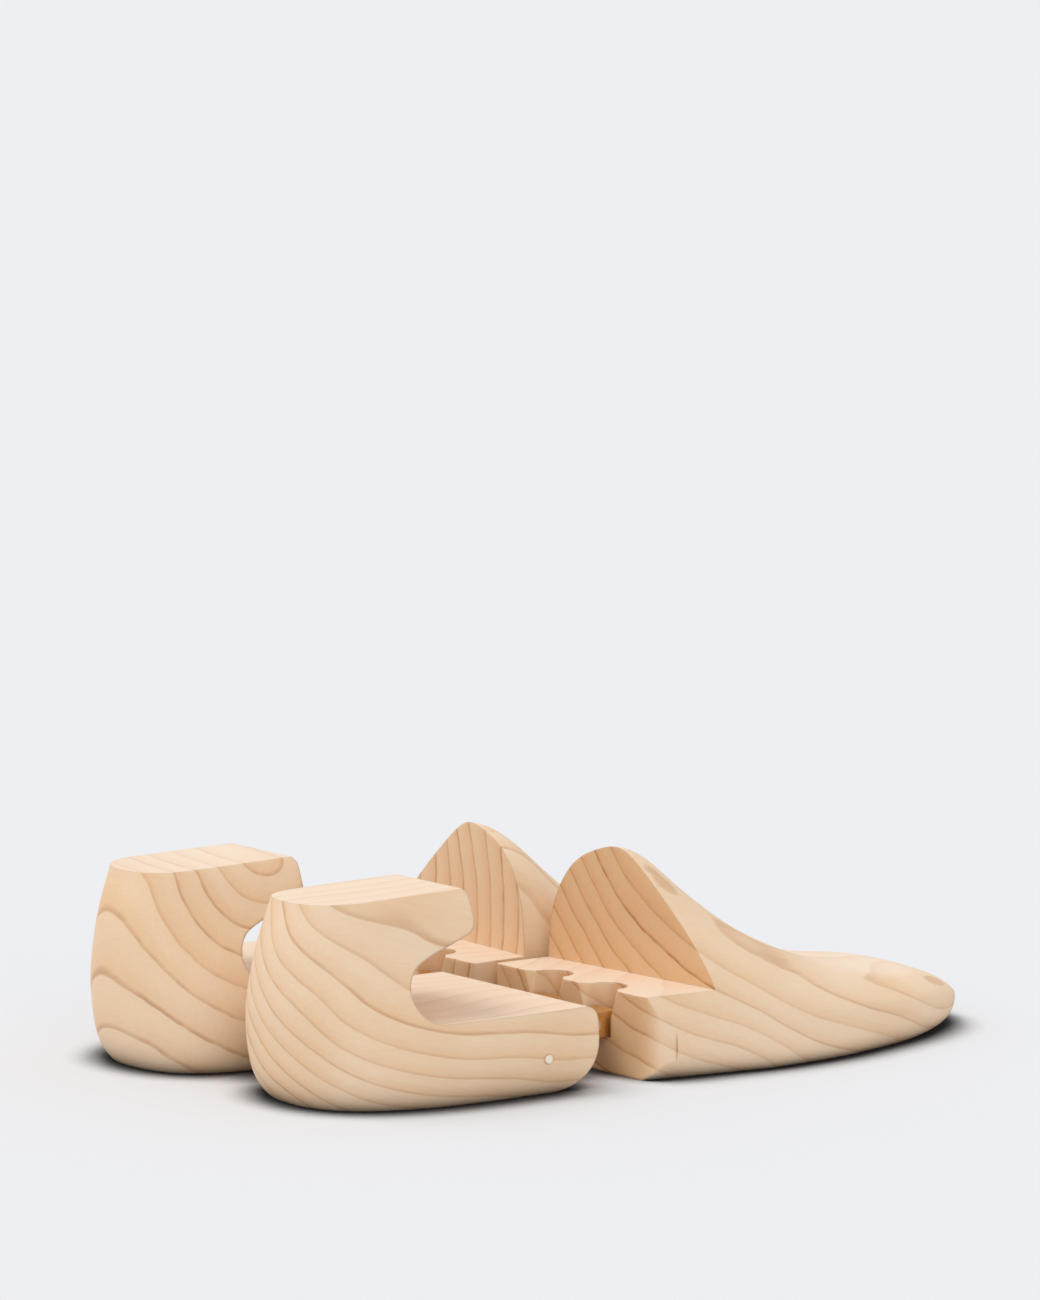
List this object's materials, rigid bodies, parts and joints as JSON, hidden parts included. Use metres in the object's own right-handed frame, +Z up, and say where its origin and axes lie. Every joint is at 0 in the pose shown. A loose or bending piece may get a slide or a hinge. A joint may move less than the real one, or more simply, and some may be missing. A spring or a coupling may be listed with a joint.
{
  "type": "shoe tree pair",
  "caption": "Pair of pine shoe trees: each has a lasted forepart with an instep fin, a heel block with a finger cut, and a folding, sprung double link between them",
  "frame": {"origin": "on the floor below the middle of the right tree's hinge pin", "axes": "+X from heel to toe, +Y from the right tree to the left tree, +Z up"},
  "size_m": [0.25, 0.1612, 0.0601],
  "materials": {
    "pine": "sanded, unvarnished",
    "plug_pine": "sanded, unvarnished",
    "brass": "drawn, satin",
    "pin_steel": "bright",
    "steel": "ground",
    "spring_steel": "drawn wire"
  },
  "bodies": {
    "right_forepart_body": {"right_forepart": "pine", "right_hinge_pin": "steel", "right_hinge_pin_plug": "plug_pine"},
    "right_hinge_link": {"right_inner_hinge_bar": "brass", "right_outer_hinge_bar": "brass", "right_roll_pins": "pin_steel", "right_inner_rod": "steel", "right_outer_rod": "steel"},
    "right_heel_body": {"right_heel_block": "pine", "right_heel_cross_pin": "steel", "right_rod_bushes": "brass", "right_inner_spring": "spring_steel", "right_outer_spring": "spring_steel"},
    "left_forepart_body": {"left_forepart": "pine", "left_hinge_pin": "steel", "left_hinge_pin_plug": "plug_pine"},
    "left_hinge_link": {"left_inner_hinge_bar": "brass", "left_outer_hinge_bar": "brass", "left_roll_pins": "pin_steel", "left_inner_rod": "steel", "left_outer_rod": "steel"},
    "left_heel_body": {"left_heel_block": "pine", "left_heel_cross_pin": "steel", "left_rod_bushes": "brass", "left_inner_spring": "spring_steel", "left_outer_spring": "spring_steel"}
  },
  "joints": [
    {"name": "left_tree_lift", "type": "slide", "parent": "right_forepart_body", "child": "left_forepart_body", "axis": [0, 0, 1], "range_m": [0, 0.12]},
    {"name": "right_fold", "type": "hinge", "parent": "right_forepart_body", "child": "right_hinge_link", "pos_m": [0, 0, 0.014], "axis": [0, 1, 0], "range_deg": [0, 80]},
    {"name": "right_travel", "type": "slide", "parent": "right_hinge_link", "child": "right_heel_body", "axis": [1, 0, 0], "range_m": [0, 0.008], "stiffness_N_per_m": 2500, "springref_m": -0.004, "deforming": ["right_inner_spring", "right_outer_spring"]},
    {"name": "left_fold", "type": "hinge", "parent": "left_forepart_body", "child": "left_hinge_link", "pos_m": [-0.0055, 0.073, 0.014], "axis": [0, 1, 0], "range_deg": [0, 80]},
    {"name": "left_travel", "type": "slide", "parent": "left_hinge_link", "child": "left_heel_body", "axis": [1, 0, 0], "range_m": [0, 0.008], "stiffness_N_per_m": 2500, "springref_m": -0.004, "deforming": ["left_inner_spring", "left_outer_spring"]}
  ]
}
